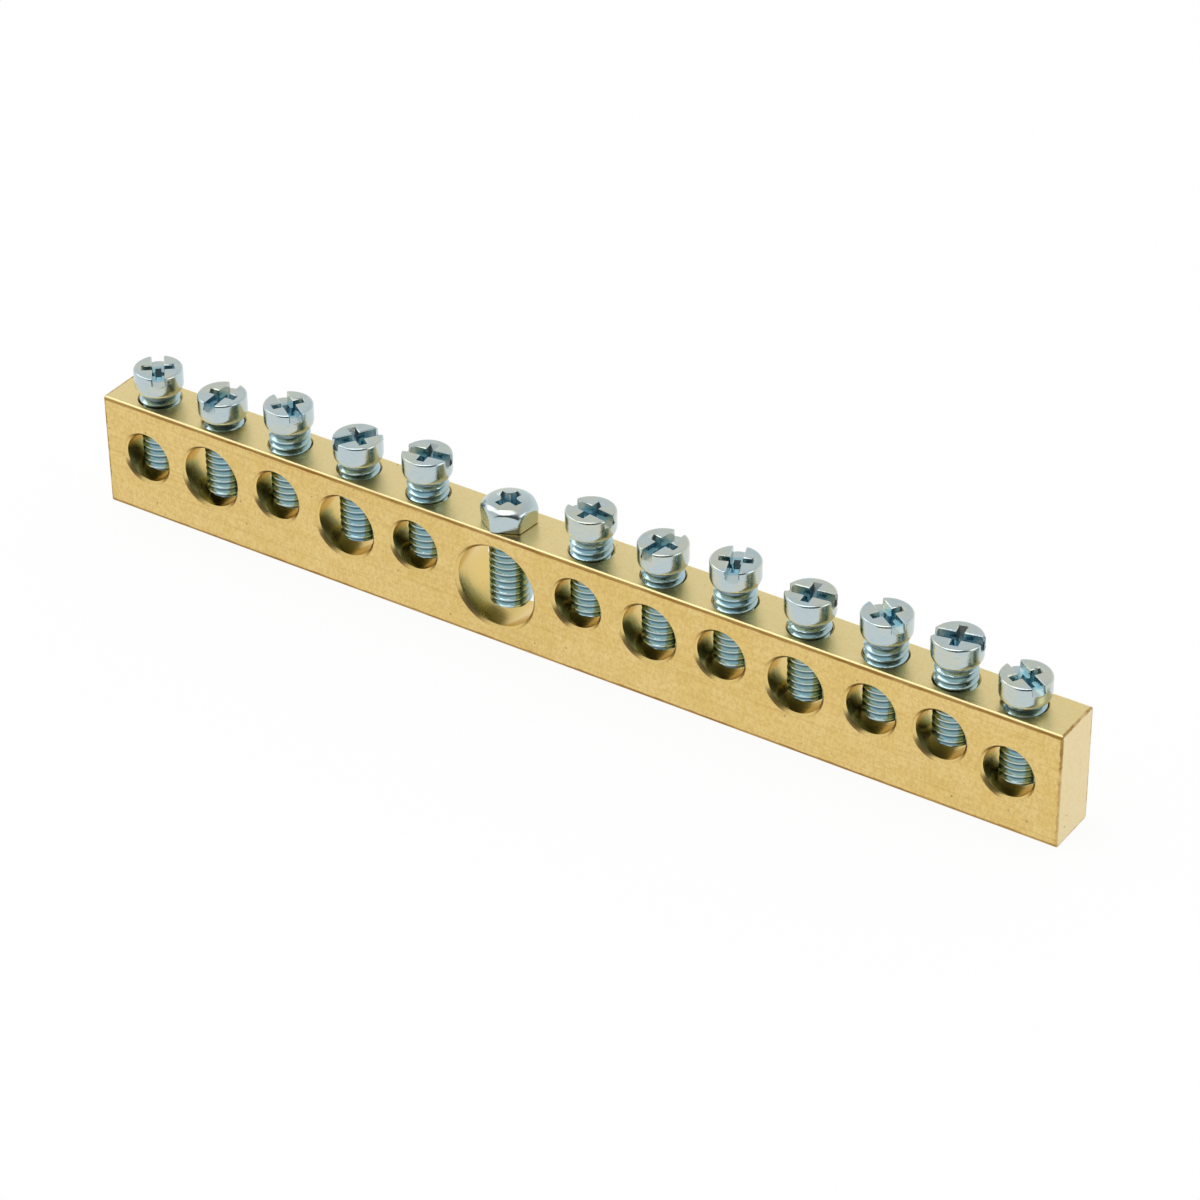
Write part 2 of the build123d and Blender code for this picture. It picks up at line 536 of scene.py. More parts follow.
class BarRecipe(Recipe):
    """Bores a block across and taps it from above, one way at each point of another object."""

    CREASE = 30.0
    CLEAR = 0.4

    def __init__(self) -> None:
        """Builds the tree."""
        super().__init__("Bored and tapped bar")
        block = self.takes("Block", Kind.GEOMETRY)
        ways = self.takes("Ways", Kind.OBJECT)
        finish = self.takes("Finish", Kind.MATERIAL)
        names = ("Half thickness", "Height", "Countersink", "Tapped radius", "Mouth chamfer")
        sizes = {name: self.takes(name, Kind.NUMBER) for name in names}
        columns = self.takes("Columns", Kind.COUNT)

        points = self.wire("GeometryNodeObjectInfo", inputs={"Object": ways}, output="Geometry")
        bored = self.cut(block, self.bores(points, sizes, columns))
        tapped = self.cut(bored, self.taps(points, sizes, columns))
        self.ends(tapped, finish, self.CREASE)

    def cut(self, mesh: Wire, tool: Wire) -> Wire:
        """Takes a tool's shape out of a mesh."""
        settings = {"operation": "DIFFERENCE", "solver": "EXACT"}
        return self.wire("GeometryNodeMeshBoolean", settings, {"Mesh 1": mesh, "Mesh 2": tool})

    def plugs(
        self, points: Wire, columns: Wire, profile: Sequence[tuple[Number, Number]], upright: bool
    ) -> Wire:
        """Puts a grid on each way's point and rolls it up into a turned solid shape.

        Args:
            points: The ways' points.
            columns: How many faces a shape has around.
            profile: How far along its axis and how far out each row of points lies.
            upright: Whether the axis is upright. It lies across the bar otherwise.

        Returns:
            The shapes.
        """
        grid, around, along = self.lattice(columns, len(profile))
        angle = around * (2 * pi)
        share = self.vector(angle.sine(), angle.cosine(), along * (len(profile) - 1))
        stored = {"Geometry": grid, "Name": "roll", "Value": share}
        vectors = {"data_type": "FLOAT_VECTOR"}
        kept = self.wire("GeometryNodeStoreNamedAttribute", {**vectors, "domain": "POINT"}, stored)
        centre = self.vector(0.0, 0.0, 0.0)
        spot = self.wire("GeometryNodeSetPosition", inputs={"Geometry": kept, "Position": centre})
        spread = self.wire("GeometryNodeInstanceOnPoints", inputs={"Points": points, "Instance": spot})
        whole = self.wire("GeometryNodeRealizeInstances", inputs={"Geometry": spread})
        roll = self.wire("GeometryNodeInputNamedAttribute", vectors, {"Name": "roll"})
        sine, cosine, row = self.split(roll)
        axial, reach = (self.steps(row, values) for values in zip(*profile))
        parts = (cosine * reach, sine * reach, axial) if upright else (cosine * reach, axial, sine * reach)
        offset = self.vector(*parts)
        moved = self.wire("GeometryNodeSetPosition", inputs={"Geometry": whole, "Offset": offset})
        if not upright:
            moved = self.wire("GeometryNodeFlipFaces", inputs={"Mesh": moved})
        return self.welded(moved)

    def bores(self, points: Wire, sizes: Mapping[str, Wire], columns: Wire) -> Wire:
        """Makes the cross bores, with a countersink at both mouths.

        Args:
            points: The ways' points.
            sizes: The bar's sizes by name.
            columns: How many faces a bore has around.

        Returns:
            The bores as solid shapes.
        """
        bore = self.wire("GeometryNodeInputNamedAttribute", {"data_type": "FLOAT"}, {"Name": "bore_radius"})
        half, sink = sizes["Half thickness"], sizes["Countersink"]
        inner, outer = half - sink, half + self.CLEAR
        flare = sink + self.CLEAR
        axis, wide = bore * 0, bore + flare
        front = [(-outer, axis), (-outer, wide), (-inner, bore)]
        back = [(inner, bore), (outer, wide), (outer, axis)]
        return self.plugs(points, columns, front + back, upright=False)

    def taps(self, points: Wire, sizes: Mapping[str, Wire], columns: Wire) -> Wire:
        """Makes the tapped holes, from each bore's axis to a chamfered mouth.

        Args:
            points: The ways' points.
            sizes: The bar's sizes by name.
            columns: How many faces a hole has around.

        Returns:
            The holes as solid shapes.
        """
        _, _, axis_height = self.split(self.wire("GeometryNodeInputPosition"))
        rise = sizes["Height"] - axis_height
        chamfer, radius = sizes["Mouth chamfer"], sizes["Tapped radius"]
        above, flared = rise + self.CLEAR, radius + chamfer + self.CLEAR
        foot, axis = rise * 0, radius * 0
        rows = [(foot, axis), (foot, radius), (rise - chamfer, radius), (above, flared), (above, axis)]
        return self.plugs(points, columns, rows, upright=True)


@dataclass
class Bar:
    """The brass bar, in millimetres. Its outer sizes and its ways come from the frame."""

    node: str = "bar"
    long_edge_radius: float = 0.3
    sawn_edge_radius: float = 0.12
    countersink: float = 0.3
    tapped_radius: float = 2.05
    mouth_chamfer: float = 0.15
    edge_steps: int = 8
    sawn_steps: int = 3
    columns: int = 96

    def build(self, record: Mapping[str, Any], finish: Material) -> Object:
        """Makes the bar and lets it stand for its CAD node.

        Args:
            record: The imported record, whose mounts give the bores.
            finish: The bar's material.

        Returns:
            The bar.
        """
        low, high = (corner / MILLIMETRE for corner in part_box(self.node))
        block = self.block(high - low)
        ways = self.ways(record)
        BarRecipe().run(
            block,
            {
                "Ways": ways,
                "Finish": finish,
                "Half thickness": high.y,
                "Height": high.z,
                "Countersink": self.countersink,
                "Tapped radius": self.tapped_radius,
                "Mouth chamfer": self.mouth_chamfer,
                "Columns": self.columns,
            },
        )
        bar = finished_piece(block, "brass_bar")
        bpy.data.objects.remove(ways)
        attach(bar, "bar")
        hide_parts(self.node)
        return bar

    def block(self, size: Vector) -> Object:
        """Makes the drawn and sawn block, standing on its lower face.

        Args:
            size: Its length, thickness and height.

        Returns:
            The block.
        """
        outlines = []
        for step in range(self.sawn_steps + 1):
            angle = radians(90 * step / self.sawn_steps)
            end = size.x / 2 - self.sawn_edge_radius * (1 - cos(angle))
            outlines.append(self.outline(size, end, self.sawn_edge_radius * (1 - sin(angle))))
        outlines += [[(-x, y, z) for x, y, z in outline] for outline in reversed(outlines)]
        return new_object("block", lofted(outlines))

    def outline(self, size: Vector, place: float, inwards: float) -> list[Point]:
        """Gives the block's outline, a rectangle with round corners.

        Args:
            size: The block's length, thickness and height.
            place: How far along the bar it lies.
            inwards: How far its sides are moved inwards.

        Returns:
            The corners, anticlockwise as seen from the bar's right end.
        """
        middle = (size.y / 2 - self.long_edge_radius, size.z / 2 - self.long_edge_radius)
        radius = self.long_edge_radius - inwards
        corners = []
        for quarter, (across, up) in enumerate(((1, 1), (-1, 1), (-1, -1), (1, -1))):
            for step in range(self.edge_steps + 1):
                angle = radians(90 * (quarter + step / self.edge_steps))
                y = across * middle[0] + radius * cos(angle)
                z = up * middle[1] + radius * sin(angle)
                corners.append((place, y, size.z / 2 + z))
        return corners

    def ways(self, record: Mapping[str, Any]) -> Object:
        """Makes one point for each wire way, at its bore's axis, with the bore's radius.

        Args:
            record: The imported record.

        Returns:
            The points' object.
        """
        bores = [mount for mount in record["mounts"] if mount["name"].startswith("wire_bore_")]
        mesh = bpy.data.meshes.new("ways")
        mesh.from_pydata([Vector(bore["pos_m"]) / MILLIMETRE for bore in bores], [], [])
        radius = mesh.attributes.new("bore_radius", "FLOAT", "POINT")
        radius.data.foreach_set("value", [bore["dims"]["r_mm"] for bore in bores])
        return new_object("ways", mesh)


@dataclass
class Head:
    """What the two kinds of head share, in millimetres. A head stands on its underside at the origin."""

    thread: Thread = field(default_factory=Thread)
    height: float = 2.4
    cross_reach: float = 1.55
    cross_arm_width: float = 0.76
    cross_corner_cut: float = 0.22
    cross_root_reach: float = 0.6
    cross_root_arm_width: float = 0.44
    cross_root_corner_cut: float = 0.1
    cross_depth: float = 1.5
    cross_turn: float = 0.0
    mouth_break: float = 0.09
    clear: float = 0.3
    merge_distance: float = 0.002

    def cross_outline(
        self, height: float, reach: float, arm: float, cut: float, wider: float = 0.0
    ) -> list[Point]:
        """Gives the corners of a cross whose inner corners are cut back.

        Args:
            height: How high it lies.
            reach: How far its arms reach.
            arm: How wide they are.
            cut: How far the inner corners are cut back.
            wider: How far all its sides are moved outwards.

        Returns:
            The corners, anticlockwise from above.
        """
        half = arm / 2 + wider
        corner = half + cut - wider * (2 - 2**0.5)
        quarter = [(reach + wider, -half), (reach + wider, half), (corner, half), (half, corner)]
        corners = []
        for turn in (0, 90, 180, 270):
            c, s = cos(radians(turn + self.cross_turn)), sin(radians(turn + self.cross_turn))
            corners += [(x * c - y * s, x * s + y * c, height) for x, y in quarter]
        return corners

    def cross_tool(self) -> Object:
        """Makes the shape of the cross recess, which flares to break the recess's mouth.

        Returns:
            The shape, to be cut out.
        """
        mouth = (self.cross_reach, self.cross_arm_width, self.cross_corner_cut)
        root = (self.cross_root_reach, self.cross_root_arm_width, self.cross_root_corner_cut)
        outlines = [
            self.cross_outline(self.height + self.clear, *mouth, wider=self.mouth_break),
            self.cross_outline(self.height, *mouth, wider=self.mouth_break),
            self.cross_outline(self.height - self.mouth_break, *mouth),
            self.cross_outline(self.height - self.cross_depth, *root),
        ]
        return new_object("cross", lofted(outlines))

    def opened(self, head: Object) -> Object:
        """Merges what a cut left apart, and opens the stub's lower end for the shank.

        Args:
            head: The head, which is replaced.

        Returns:
            The new head.
        """
        shape = bmesh.new()
        shape.from_mesh(head.data)
        bmesh.ops.remove_doubles(shape, verts=shape.verts, dist=self.merge_distance)
        low_end = self.merge_distance / 2 - self.thread.stub
        foot = [face for face in shape.faces if all(vertex.co.z < low_end for vertex in face.verts)]
        bmesh.ops.delete(shape, geom=foot, context="FACES")
        name = head.name
        bpy.data.objects.remove(head)
        return new_object(name, shape)


@dataclass
class SlottedHead(Head):
    """The terminal screws' cheese head, with a slot along X and a cross recess."""

    radius: float = 2.4
    rim_radius: float = 0.24
    shoulder_inset: float = 0.46
    shoulder_height: float = 0.8
    slot_width: float = 1.1
    slot_depth: float = 0.8
    slot_draft: float = 0.04
    ear_radius: float = 0.3
    ear_inside: float = 0.22
    lip_proud: float = 0.09
    lip_reach: float = 0.66
    lip_drop: float = 0.34
    lip_thickness: float = 0.3
    round_steps: int = 6
    ear_steps: int = 5
    lip_steps: int = 16

    def build(self) -> Object:
        """Turns the head, adds the lips of pushed metal, and cuts the slot and the cross.

        Returns:
            The head.
        """
        rim, shoulder = self.radius - self.rim_radius, self.radius - self.shoulder_inset
        quarter = [radians(90 * step / self.round_steps) for step in range(self.round_steps + 1)]
        profile = [(0.0, self.height)]
        for a in reversed(quarter):
            profile.append((rim + self.rim_radius * cos(a), self.height - self.rim_radius * (1 - sin(a))))
        for a in quarter:
            profile.append((shoulder + self.shoulder_inset * cos(a), self.shoulder_height * (1 - sin(a))))
        neck, stub = self.thread.neck_radius, self.thread.stub
        profile += [(neck, 0.0), (neck, -stub), (0.0, -stub)]
        head = new_object("slotted_head", turned(profile, self.thread.columns))
        for side in (-1, 1):
            head = combined(head, "UNION", self.lip_tool(side))
        head = combined(head, "DIFFERENCE", self.slot_tool())
        head = combined(head, "DIFFERENCE", self.cross_tool())
        return self.opened(head)

    def lip_tool(self, side: int) -> Object:
        """Makes the rounded swelling below one end of the slot.

        Args:
            side: -1 for the left end, 1 for the right.

        Returns:
            The swelling.
        """
        shape = bmesh.new()
        steps = self.lip_steps
        bmesh.ops.create_uvsphere(shape, u_segments=2 * steps, v_segments=steps, radius=1.0)
        size = (self.lip_thickness, self.lip_reach, self.lip_drop)
        bmesh.ops.scale(shape, vec=size, verts=shape.verts)
        out = self.radius + self.lip_proud - self.lip_thickness
        bmesh.ops.translate(shape, vec=(side * out, 0, self.height - self.slot_depth), verts=shape.verts)
        return new_object("lip", shape)

    def slot_outline(self, height: float, wider: float) -> list[Point]:
        """Gives the slot's outline, which opens in a round corner at each end.

        Args:
            height: How high it lies.
            wider: How far its sides are moved outwards.

        Returns:
            The corners, anticlockwise from above.
        """
        half = self.slot_width / 2 + wider
        ear = self.ear_radius
        bend = self.radius - self.ear_inside - ear / 2
        side = [(2 * self.radius, half + ear)]
        for step in range(self.ear_steps + 1):
            angle = radians(-90 * step / self.ear_steps)
            side.append((bend + ear * cos(angle), half + ear + ear * sin(angle)))
        upper = side + [(-x, y) for x, y in reversed(side)]
        return [(x, y, height) for x, y in upper] + [(-x, -y, height) for x, y in upper]

    def slot_tool(self) -> Object:
        """Makes the slot's shape, a little wider at its top, where it flares to break the edge.

        Returns:
            The shape, to be cut out.
        """
        mouth = self.slot_draft + self.mouth_break
        outlines = [
            self.slot_outline(self.height + self.clear, mouth),
            self.slot_outline(self.height, mouth),
            self.slot_outline(self.height - self.mouth_break, self.slot_draft),
            self.slot_outline(self.height - self.slot_depth, 0.0),
        ]
        return new_object("slot", lofted(outlines))


@dataclass
class HexagonHead(Head):
    """The main screw's hexagon head, under a rounded shoulder and a low dome."""

    height: float = 2.5
    cross_reach: float = 1.4
    cross_turn: float = 50.0
    across_flats: float = 4.7
    draft: float = 4.5
    corner_radius: float = 0.4
    foot_break: float = 0.06
    side_height: float = 1.2
    shoulder_radius: float = 1.35
    dome_edge: float = 1.9
    dome_rise: float = 0.17
    edge_blend: float = 0.16
    dome_steps: int = 6
    shoulder_steps: int = 26
    side_steps: int = 4
    columns: int = 144

    def build(self) -> Object:
        """Lofts a drafted hexagon whose flats run out into its shoulder, and sinks the cross in it.

        Returns:
            The head.
        """
        outlines = [self.outline(limit, height) for limit, height in self.profile()]
        outlines.append(self.outline(outlines[-1][0][0], 0.0, inwards=self.foot_break))
        head = new_object("hexagon_head", lofted(outlines))
        head = combined(head, "UNION", self.stub_tool())
        head = combined(head, "DIFFERENCE", self.cross_tool())
        return self.opened(head)

    def profile(self) -> list[Corner]:
        """Gives how far out the shoulder and dome let the head reach, from the top down.

        Returns:
            The reach and the height of each outline, without the foot.
        """
        reach = (self.across_flats / 2 + self.side_height * tan(radians(self.draft))) / cos(radians(30))
        dome_radius = (self.dome_edge**2 + self.dome_rise**2) / (2 * self.dome_rise)
        edge = (self.dome_edge, self.height - self.dome_rise)
        dome = arc((0.0, self.height), edge, dome_radius, self.dome_steps)
        shoulder = arc(dome[-1], (reach, self.side_height), self.shoulder_radius, self.shoulder_steps)
        shares = [step / self.side_steps for step in range(self.side_steps - 1, 0, -1)]
        sides = [(reach, self.side_height * share) for share in shares]
        return dome[1:] + shoulder[1:] + sides + [(reach, self.foot_break)]

    def outline(self, limit: float, height: float, inwards: float = 0.0) -> list[Point]:
        """Gives the head's outline at a height.

        Args:
            limit: How far out the shoulder and dome let it reach.
            height: How high it lies.
            inwards: How far all its sides are moved inwards.

        Returns:
            The corners, anticlockwise from above.
        """
        apothem = self.across_flats / 2 + height * tan(radians(self.draft)) - inwards
        corners = []
        for column in range(self.columns):
            angle = 2 * pi * column / self.columns
            reach = softly_least(self.hexagon_reach(apothem, angle), limit, self.edge_blend)
            corners.append((reach * cos(angle), reach * sin(angle), height))
        return corners

    def hexagon_reach(self, apothem: float, angle: float) -> float:
        """Gives how far a hexagon with rounded corners reaches in a direction.

        Args:
            apothem: How far its flats are from its middle.
            angle: The direction in radians, where 0 points at a corner.

        Returns:
            How far its outline is from its middle there.
        """
        off_corner = abs((angle + pi / 6) % (pi / 3) - pi / 6)
        middle = (apothem - self.corner_radius) / cos(pi / 6)
        half_round = atan2(self.corner_radius * 0.5, middle + self.corner_radius * cos(pi / 6))
        if off_corner >= half_round:
            return apothem / cos(pi / 6 - off_corner)
        return middle * cos(off_corner) + (self.corner_radius**2 - (middle * sin(off_corner)) ** 2) ** 0.5

    def stub_tool(self) -> Object:
        """Makes the short neck that the shank is welded to, with its top inside the head.

        Returns:
            The neck, to be added.
        """
        radius, low = self.thread.neck_radius, -self.thread.stub
        profile = [(0.0, self.clear), (radius, self.clear), (radius, low), (0.0, low)]
        return new_object("stub", turned(profile, self.thread.columns))


@dataclass
class ScrewRow:
    """The thirteen screws, each standing where its CAD node stands."""

    thread: Thread = field(default_factory=Thread)
    main_thread: Thread = field(default_factory=lambda: Thread(length=8.7))
    main_number: int = 6
    turns: tuple[float, ...] = (129, 93, 146, 57, 8, 25, -8, 80, 112, 8, 146, 12, 148)

    def build(self, finish: Material) -> list[Object]:
        """Makes every screw, from the left.

        Args:
            finish: Their material.

        Returns:
            The screws.
        """
        heads = {False: SlottedHead(self.thread).build(), True: HexagonHead(self.thread).build()}
        recipe = ScrewRecipe()
        numbers = range(1, len(self.turns) + 1)
        made = [self.screw(number, heads[number == self.main_number], recipe, finish) for number in numbers]
        for head in heads.values():
            bpy.data.objects.remove(head)
        return made

    def screw(self, number: int, head: Object, recipe: ScrewRecipe, finish: Material) -> Object:
        """Makes one screw and lets it stand for its CAD node.

        Args:
            number: Its number from the left, from 1.
            head: Its head.
            recipe: The tree that adds the shank.
            finish: Its material.

        Returns:
            The screw.
        """
        is_main = number == self.main_number
        node = "main_screw" if is_main else f"terminal_screw_{number:02d}"
        thread = self.main_thread if is_main else self.thread
        low, high = (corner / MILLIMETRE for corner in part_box(node))
        middle = (low + high) / 2
        place = (middle.x, middle.y, low.z + thread.length)
        turn = radians(self.turns[number - 1])
        start = new_object("screw", bpy.data.meshes.new("screw"))
        recipe.run(start, {"head": head, "place": place, "turn": turn, "finish": finish, **asdict(thread)})
        screw = finished_piece(start, node.replace("screw", "clamping_screw"))
        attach(screw, node)
        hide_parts(node)
        return screw


class Finish(Graph):
    """A material's node tree around one Principled shader."""

    FIRST, SECOND, BLENDED = 6, 7, 2
    BUMP_STRENGTH = 0.5

    def __init__(self, name: str) -> None:
        """Starts a material with an empty tree.

        Args:
            name: The material's name.
        """
        self.material = bpy.data.materials.new(name)
        self.material.use_nodes = True
        super().__init__(self.material.node_tree)
        self.tree.nodes.clear()

    def spot(self) -> Wire:
        """Gives the place on the object in millimetres."""
        metres = self.wire("ShaderNodeTexCoord", output="Object")
        return self.scaled(metres, (1 / MILLIMETRE, 1 / MILLIMETRE, 1 / MILLIMETRE))

    def noise(self, place: Wire, scale: float, detail: float = 2.0, roughness: float = 0.5) -> Wire:
        """Gives a noise from 0 to 1 over a place."""
        inputs = {"Vector": place, "Scale": scale, "Detail": detail, "Roughness": roughness}
        return self.wire("ShaderNodeTexNoise", inputs=inputs, output=0)

    def blend(self, share: Number, first: Wire | Colour, second: Wire | Colour) -> Wire:
        """Blends two colours.

        Args:
            share: How much of the second there is.
            first: The first colour or wire.
            second: The second colour or wire.

        Returns:
            The colour.
        """
        one, other = (paint if isinstance(paint, Wire) else (*paint, 1.0) for paint in (first, second))
        inputs = {0: share, self.FIRST: one, self.SECOND: other}
        return self.wire("ShaderNodeMix", {"data_type": "RGBA"}, inputs, output=self.BLENDED)

    def scaled(self, vector: Wire, factors: Sequence[float]) -> Wire:
        """Gives a vector whose parts are multiplied by these factors."""
        return self.wire("ShaderNodeVectorMath", {"operation": "MULTIPLY"}, {0: vector, 1: factors})

    def bump(self, height: Wire, depth: float, normal: Wire | None = None) -> Wire:
        """Gives a surface normal bumped by a height.

        Args:
            height: The height, from about 0 to 1.
            depth: How deep a height of 1 is, in millimetres.
            normal: The normal to start from, where it isn't the surface's own.

        Returns:
            The normal.
        """
        sizes = {"Distance": depth * MILLIMETRE, "Strength": self.BUMP_STRENGTH}
        start = {} if normal is None else {"Normal": normal}
        return self.wire("ShaderNodeBump", inputs={"Height": height, **sizes, **start})

    def surface(self, **inputs: Any) -> Material:
        """Ends the material with a Principled shader.

        Args:
            inputs: The shader's inputs by name, with underscores for spaces.

        Returns:
            The material.
        """
        named = {name.replace("_", " "): value for name, value in inputs.items()}
        shader = self.wire("ShaderNodeBsdfPrincipled", inputs=named)
        self.node("ShaderNodeOutputMaterial", inputs={"Surface": shader})
        return self.material


@dataclass(frozen=True)
class Brass:
    """Drawn brass: fine lines along the bar, small specks, brown tarnish along its edges, and painted
    light: a lighter top face and a painted highlight on the long edges' rounding.
    """

    face: Colour = (0.765, 0.555, 0.195)
    pale: Colour = (0.84, 0.65, 0.29)
    warm: Colour = (0.60, 0.40, 0.12)
    # Paler brass on the long edges' rounding: partly polish, partly a painted highlight.
    worn: Colour = (0.93, 0.78, 0.42)
    # Painted light: the top face is lighter and paler, as if lit from above.
    top: Colour = (0.81, 0.68, 0.34)
    sawn: Colour = (0.80, 0.67, 0.38)
    tarnish: Colour = (0.33, 0.165, 0.035)
    bore: Colour = (0.76, 0.565, 0.205)
    speck: Colour = (0.22, 0.13, 0.05)

    def material(self, half_length: float, half_thickness: float, height: float) -> Material:
        """Makes the material.

        Args:
            half_length: Half the bar's length in millimetres.
            half_thickness: Half its thickness.
            height: Its height.

        Returns:
            The material.
        """
        made = Finish("drawn_brass")
        place = made.spot()
        x, y, z = made.split(place)
        normal = made.wire("ShaderNodeNewGeometry", output="Normal")
        endward, sideward, upward = made.split(normal)

        from_end = half_length - abs(x)
        from_side = half_thickness - abs(y)
        from_top = height - z
        inside = from_side.at_most(from_end).at_most(from_top).at_most(z)
        in_bore = inside.rises(0.05, 0.25)
        on_top = upward.rises(0.8, 0.95)
        on_side = abs(sideward).rises(0.75, 0.87)
        on_end = abs(endward).rises(0.8, 0.95)

        lines = made.noise(made.scaled(place, (0.04, 6.0, 6.0)), 1.3, 4.0, 0.65)
        cloud = made.noise(place, 0.25, 3.0, 0.55)
        mottle = made.noise(made.scaled(place, (1.0, 1.0, 0.6)), 4.5, 4.0, 0.62)
        haze = made.noise(made.scaled(place, (0.7, 1.0, 1.0)), 0.9, 4.0, 0.6)
        rings = made.noise(made.scaled(place, (0.02, 3.2, 0.02)), 1.0, 2.0, 0.5)
        along = (from_side + from_top).at_most(from_side + z)
        # The long edges' rounding is painted paler: partly polish, partly a painted highlight.
        on_edge = (along + (haze - 0.5) * 0.16).rises(0.25, 0.2)
        worn = inside.rises(0.004, 0.03) * on_edge * (1 - on_side)
        across = from_end + from_side.at_most(from_top).at_most(z)
        stain = self.tarnish_share(made, place, along, across, on_side) * (1 - in_bore)
        specks = self.specks(made, place) * (1 - in_bore * 0.7)
        scuffs = self.scuffs(made, place, half_length) * (1 - in_bore)

        colour = made.blend(cloud.rises(0.35, 0.65) * 0.3, self.face, self.pale)
        colour = made.blend(haze.rises(0.42, 0.62) * 0.4, colour, self.pale)
        colour = made.blend(mottle.rises(0.42, 0.62) * 0.45, colour, self.warm)
        colour = made.blend(lines.rises(0.5, 0.7) * 0.5, colour, self.warm)
        # Painted light: the top face is painted lighter, as if lit from above. The sawn ends keep their own
        # paler colour.
        lit_top_and_sawn = made.blend(on_end, self.top, self.sawn)
        lit_top_and_sawn = made.blend(mottle.rises(0.42, 0.66) * 0.45, lit_top_and_sawn, self.face)
        colour = made.blend(on_top.at_least(on_end), colour, lit_top_and_sawn)
        # Painted highlight, with some polish, on the long edges' rounding.
        colour = made.blend(worn * 0.7, colour, self.worn)
        colour = made.blend(in_bore, colour, self.bore)
        colour = made.blend(stain.at_least(scuffs * 0.4), colour, self.tarnish)
        colour = made.blend(specks * 0.75, colour, self.speck)

        grain = lines * (1 - in_bore) + rings * in_bore
        uneven = ((lines - 0.5) * 0.2 + (mottle - 0.5) * 0.12) * (1 - in_bore)
        roughness = 0.35 + uneven + stain * 0.15 - on_top * 0.04 - in_bore * 0.1
        fine = made.bump(grain, 0.02)
        rough = made.bump((mottle * 0.6 - specks) * (1 - in_bore), 0.03, fine)
        return made.surface(Base_Color=colour, Metallic=1.0, Roughness=roughness, Normal=rough)

    def tarnish_share(self, made: Finish, place: Wire, along: Wire, across: Wire, on_side: Wire) -> Wire:
        """Gives how brown the bar is, which is in ragged lines at its edges.

        Args:
            made: The material's tree.
            place: The place in millimetres.
            along: How far it is from the nearest long edge.
            across: How far it is from the nearest edge of an end.
            on_side: 1 where it faces the front or the back.

        Returns:
            The share of tarnish.
        """
        ragged = made.noise(made.scaled(place, (0.5, 2.5, 2.5)), 1.2, 5.0, 0.7)
        patches = made.noise(made.scaled(place, (0.15, 0.5, 0.5)), 1.0, 3.0, 0.6).rises(0.35, 0.65)
        long_line = (along - ragged * 0.35).rises(0.28, 0.16) * on_side
        corner_line = (across - ragged * 0.45).rises(0.04, -0.08)
        return (long_line * (patches * 0.35 + 0.65)).at_least(corner_line * (patches * 0.6 + 0.25))

    def scuffs(self, made: Finish, place: Wire, half_length: float) -> Wire:
        """Gives the fine brown lines that lie low near the bar's right end.

        Args:
            made: The material's tree.
            place: The place in millimetres.
            half_length: Half the bar's length.

        Returns:
            1 in the lines and 0 elsewhere.
        """
        x, _, z = made.split(place)
        near_end = x.rises(half_length - 16, half_length - 2) * x.rises(half_length, half_length - 0.3)
        region = near_end * z.rises(7.5, 1.5)
        lines = made.noise(made.scaled(place, (0.6, 1.0, 14.0)), 1.0, 3.0, 0.6)
        return lines.rises(0.58, 0.7) * region

    def specks(self, made: Finish, place: Wire) -> Wire:
        """Gives small scattered specks.

        Args:
            made: The material's tree.
            place: The place in millimetres.

        Returns:
            1 in the specks and 0 elsewhere.
        """
        settings, inputs = {"feature": "F1"}, {"Vector": place, "Scale": 0.6, "Randomness": 1.0}
        cells = made.wire("ShaderNodeTexVoronoi", settings, inputs, output="Distance")
        fleck = made.noise(place, 6.0, 3.0, 0.7)
        return (cells + (fleck - 0.5) * 0.12).rises(0.075, 0.035)


